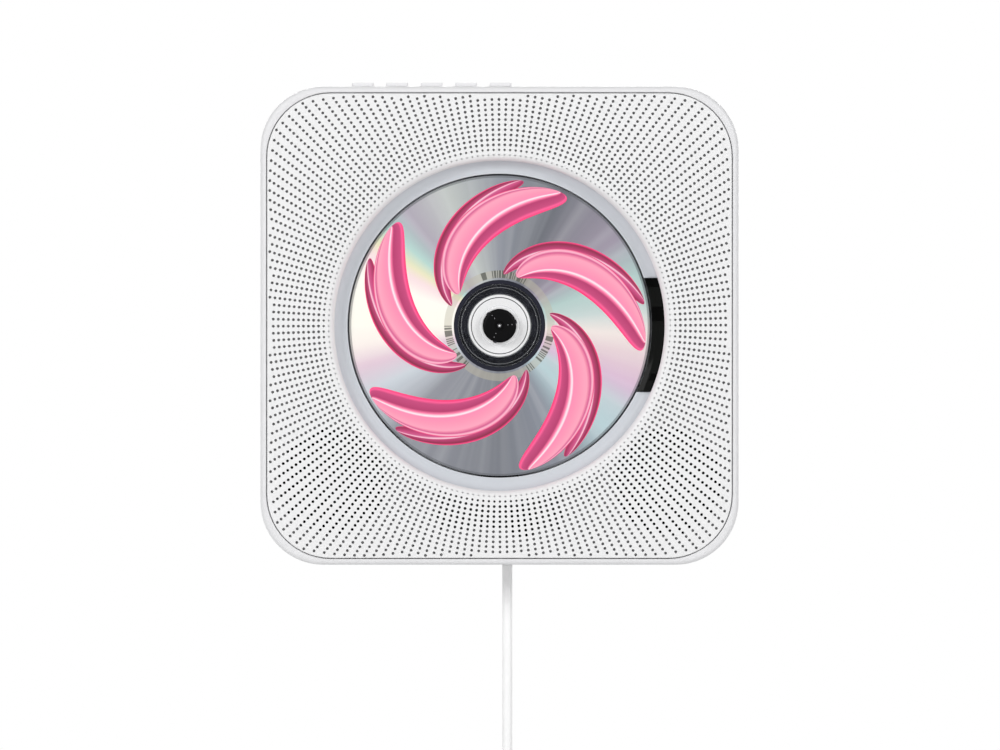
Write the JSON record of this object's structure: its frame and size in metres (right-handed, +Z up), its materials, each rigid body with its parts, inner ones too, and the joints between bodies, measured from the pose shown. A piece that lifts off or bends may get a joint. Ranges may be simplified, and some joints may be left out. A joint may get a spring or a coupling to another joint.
{
  "type": "wall mounted cd player",
  "caption": "Square white wall-hung disc player: open disc in a round well under a perforated front, pull-cord power lead, top buttons, side ports.",
  "frame": {"origin": "centre of the rear face, on the wall plane, on the axis of the disc", "axes": "+Y into the wall, +Z up, +X to the right as seen from the front, which faces -Y"},
  "size_m": [0.19, 0.045, 0.4028],
  "materials": {
    "front_panel": "satin",
    "main_housing": "satin",
    "rear_cover": "matte",
    "rear_cover_screws": "satin",
    "disc_well": "satin",
    "display_window": "gloss",
    "display_board": "satin",
    "display_module": "matte",
    "infrared_receiver": "gloss",
    "key_board": "satin",
    "key_switches": "matte",
    "mechanism_chassis": "matte",
    "isolation_bushes": "matte",
    "spindle_motor": "satin",
    "spindle_shaft": "gloss",
    "turntable": "gloss",
    "disc_mat": "matte",
    "spindle_hub": "satin",
    "disc_balls": "gloss",
    "compact_disc": "gloss",
    "sled_motor": "satin",
    "lead_screw": "satin",
    "guide_rods": "gloss",
    "pickup_sled": "matte",
    "pickup_lens": "gloss",
    "speaker_frame_left": "matte",
    "speaker_frame_right": "matte",
    "speaker_magnet_left": "matte",
    "speaker_magnet_right": "matte",
    "speaker_cones": "matte",
    "speaker_gaskets": "matte",
    "main_board": "satin",
    "board_chips": "matte",
    "capacitors": "satin",
    "wireless_module": "satin",
    "board_connectors": "matte",
    "ribbon_cable": "satin",
    "usb_socket": "satin",
    "aux_jack": "matte",
    "headphone_jack": "matte",
    "switch_guide": "matte",
    "pull_slider": "matte",
    "return_spring": "satin",
    "micro_switch": "matte",
    "cord": "satin",
    "cord_coil": "satin",
    "cord_tie": "satin",
    "usb_plug": "satin",
    "plug_shell": "satin",
    "button_power": "satin",
    "button_source": "satin",
    "button_previous": "satin",
    "button_play": "satin",
    "button_next": "satin"
  },
  "bodies": {
    "player": {"front_panel": "front_panel", "main_housing": "main_housing", "rear_cover": "rear_cover", "rear_cover_screws": "rear_cover_screws", "disc_well": "disc_well", "display_window": "display_window", "display_board": "display_board", "display_module": "display_module", "infrared_receiver": "infrared_receiver", "key_board": "key_board", "key_switches": "key_switches", "mechanism_chassis": "mechanism_chassis", "isolation_bushes": "isolation_bushes", "spindle_motor": "spindle_motor", "sled_motor": "sled_motor", "guide_rods": "guide_rods", "speaker_frame_left": "speaker_frame_left", "speaker_frame_right": "speaker_frame_right", "speaker_magnet_left": "speaker_magnet_left", "speaker_magnet_right": "speaker_magnet_right", "speaker_cones": "speaker_cones", "speaker_gaskets": "speaker_gaskets", "main_board": "main_board", "board_chips": "board_chips", "capacitors": "capacitors", "wireless_module": "wireless_module", "board_connectors": "board_connectors", "ribbon_cable": "ribbon_cable", "usb_socket": "usb_socket", "aux_jack": "aux_jack", "headphone_jack": "headphone_jack", "switch_guide": "switch_guide", "micro_switch": "micro_switch"},
    "rotor": {"spindle_shaft": "spindle_shaft", "turntable": "turntable", "disc_mat": "disc_mat", "spindle_hub": "spindle_hub", "disc_balls": "disc_balls"},
    "disc": {"compact_disc": "compact_disc"},
    "pickup": {"pickup_sled": "pickup_sled", "pickup_lens": "pickup_lens"},
    "lead_screw": {"lead_screw": "lead_screw"},
    "pull": {"pull_slider": "pull_slider", "return_spring": "return_spring", "cord": "cord", "cord_coil": "cord_coil", "cord_tie": "cord_tie", "usb_plug": "usb_plug", "plug_shell": "plug_shell"},
    "button_power": {"button_power": "button_power"},
    "button_source": {"button_source": "button_source"},
    "button_previous": {"button_previous": "button_previous"},
    "button_play": {"button_play": "button_play"},
    "button_next": {"button_next": "button_next"}
  },
  "joints": [
    {"name": "turntable_spin", "type": "hinge", "parent": "player", "child": "rotor", "pos_m": [0, -0.0334, 0], "axis": [0, -1, 0], "continuous": true},
    {"name": "disc_lift", "type": "slide", "parent": "rotor", "child": "disc", "axis": [0, -1, 0], "range_m": [0, 0.03]},
    {"name": "pickup_slide", "type": "slide", "parent": "player", "child": "pickup", "axis": [0, 0, -1], "range_m": [0, 0.034]},
    {"name": "lead_screw_turn", "type": "hinge", "parent": "player", "child": "lead_screw", "pos_m": [0.026, -0.02635, 0], "axis": [0, 0, 1], "range_deg": [0, 4080]},
    {"name": "pull_switch", "type": "slide", "parent": "player", "child": "pull", "axis": [0, 0, -1], "range_m": [0, 0.004], "stiffness_N_per_m": 800, "springref_m": -0.004, "deforming": ["return_spring"]},
    {"name": "press_power", "type": "slide", "parent": "player", "child": "button_power", "axis": [0, 0, -1], "range_m": [0, 0.0004], "stiffness_N_per_m": 500, "springref_m": -0.0005},
    {"name": "press_source", "type": "slide", "parent": "player", "child": "button_source", "axis": [0, 0, -1], "range_m": [0, 0.0004], "stiffness_N_per_m": 500, "springref_m": -0.0005},
    {"name": "press_previous", "type": "slide", "parent": "player", "child": "button_previous", "axis": [0, 0, -1], "range_m": [0, 0.0004], "stiffness_N_per_m": 500, "springref_m": -0.0005},
    {"name": "press_play", "type": "slide", "parent": "player", "child": "button_play", "axis": [0, 0, -1], "range_m": [0, 0.0004], "stiffness_N_per_m": 500, "springref_m": -0.0005},
    {"name": "press_next", "type": "slide", "parent": "player", "child": "button_next", "axis": [0, 0, -1], "range_m": [0, 0.0004], "stiffness_N_per_m": 500, "springref_m": -0.0005}
  ],
  "couplings": [
    {"joint": "lead_screw_turn", "follows": "pickup_slide", "rad_per_m": 2094.4}
  ]
}
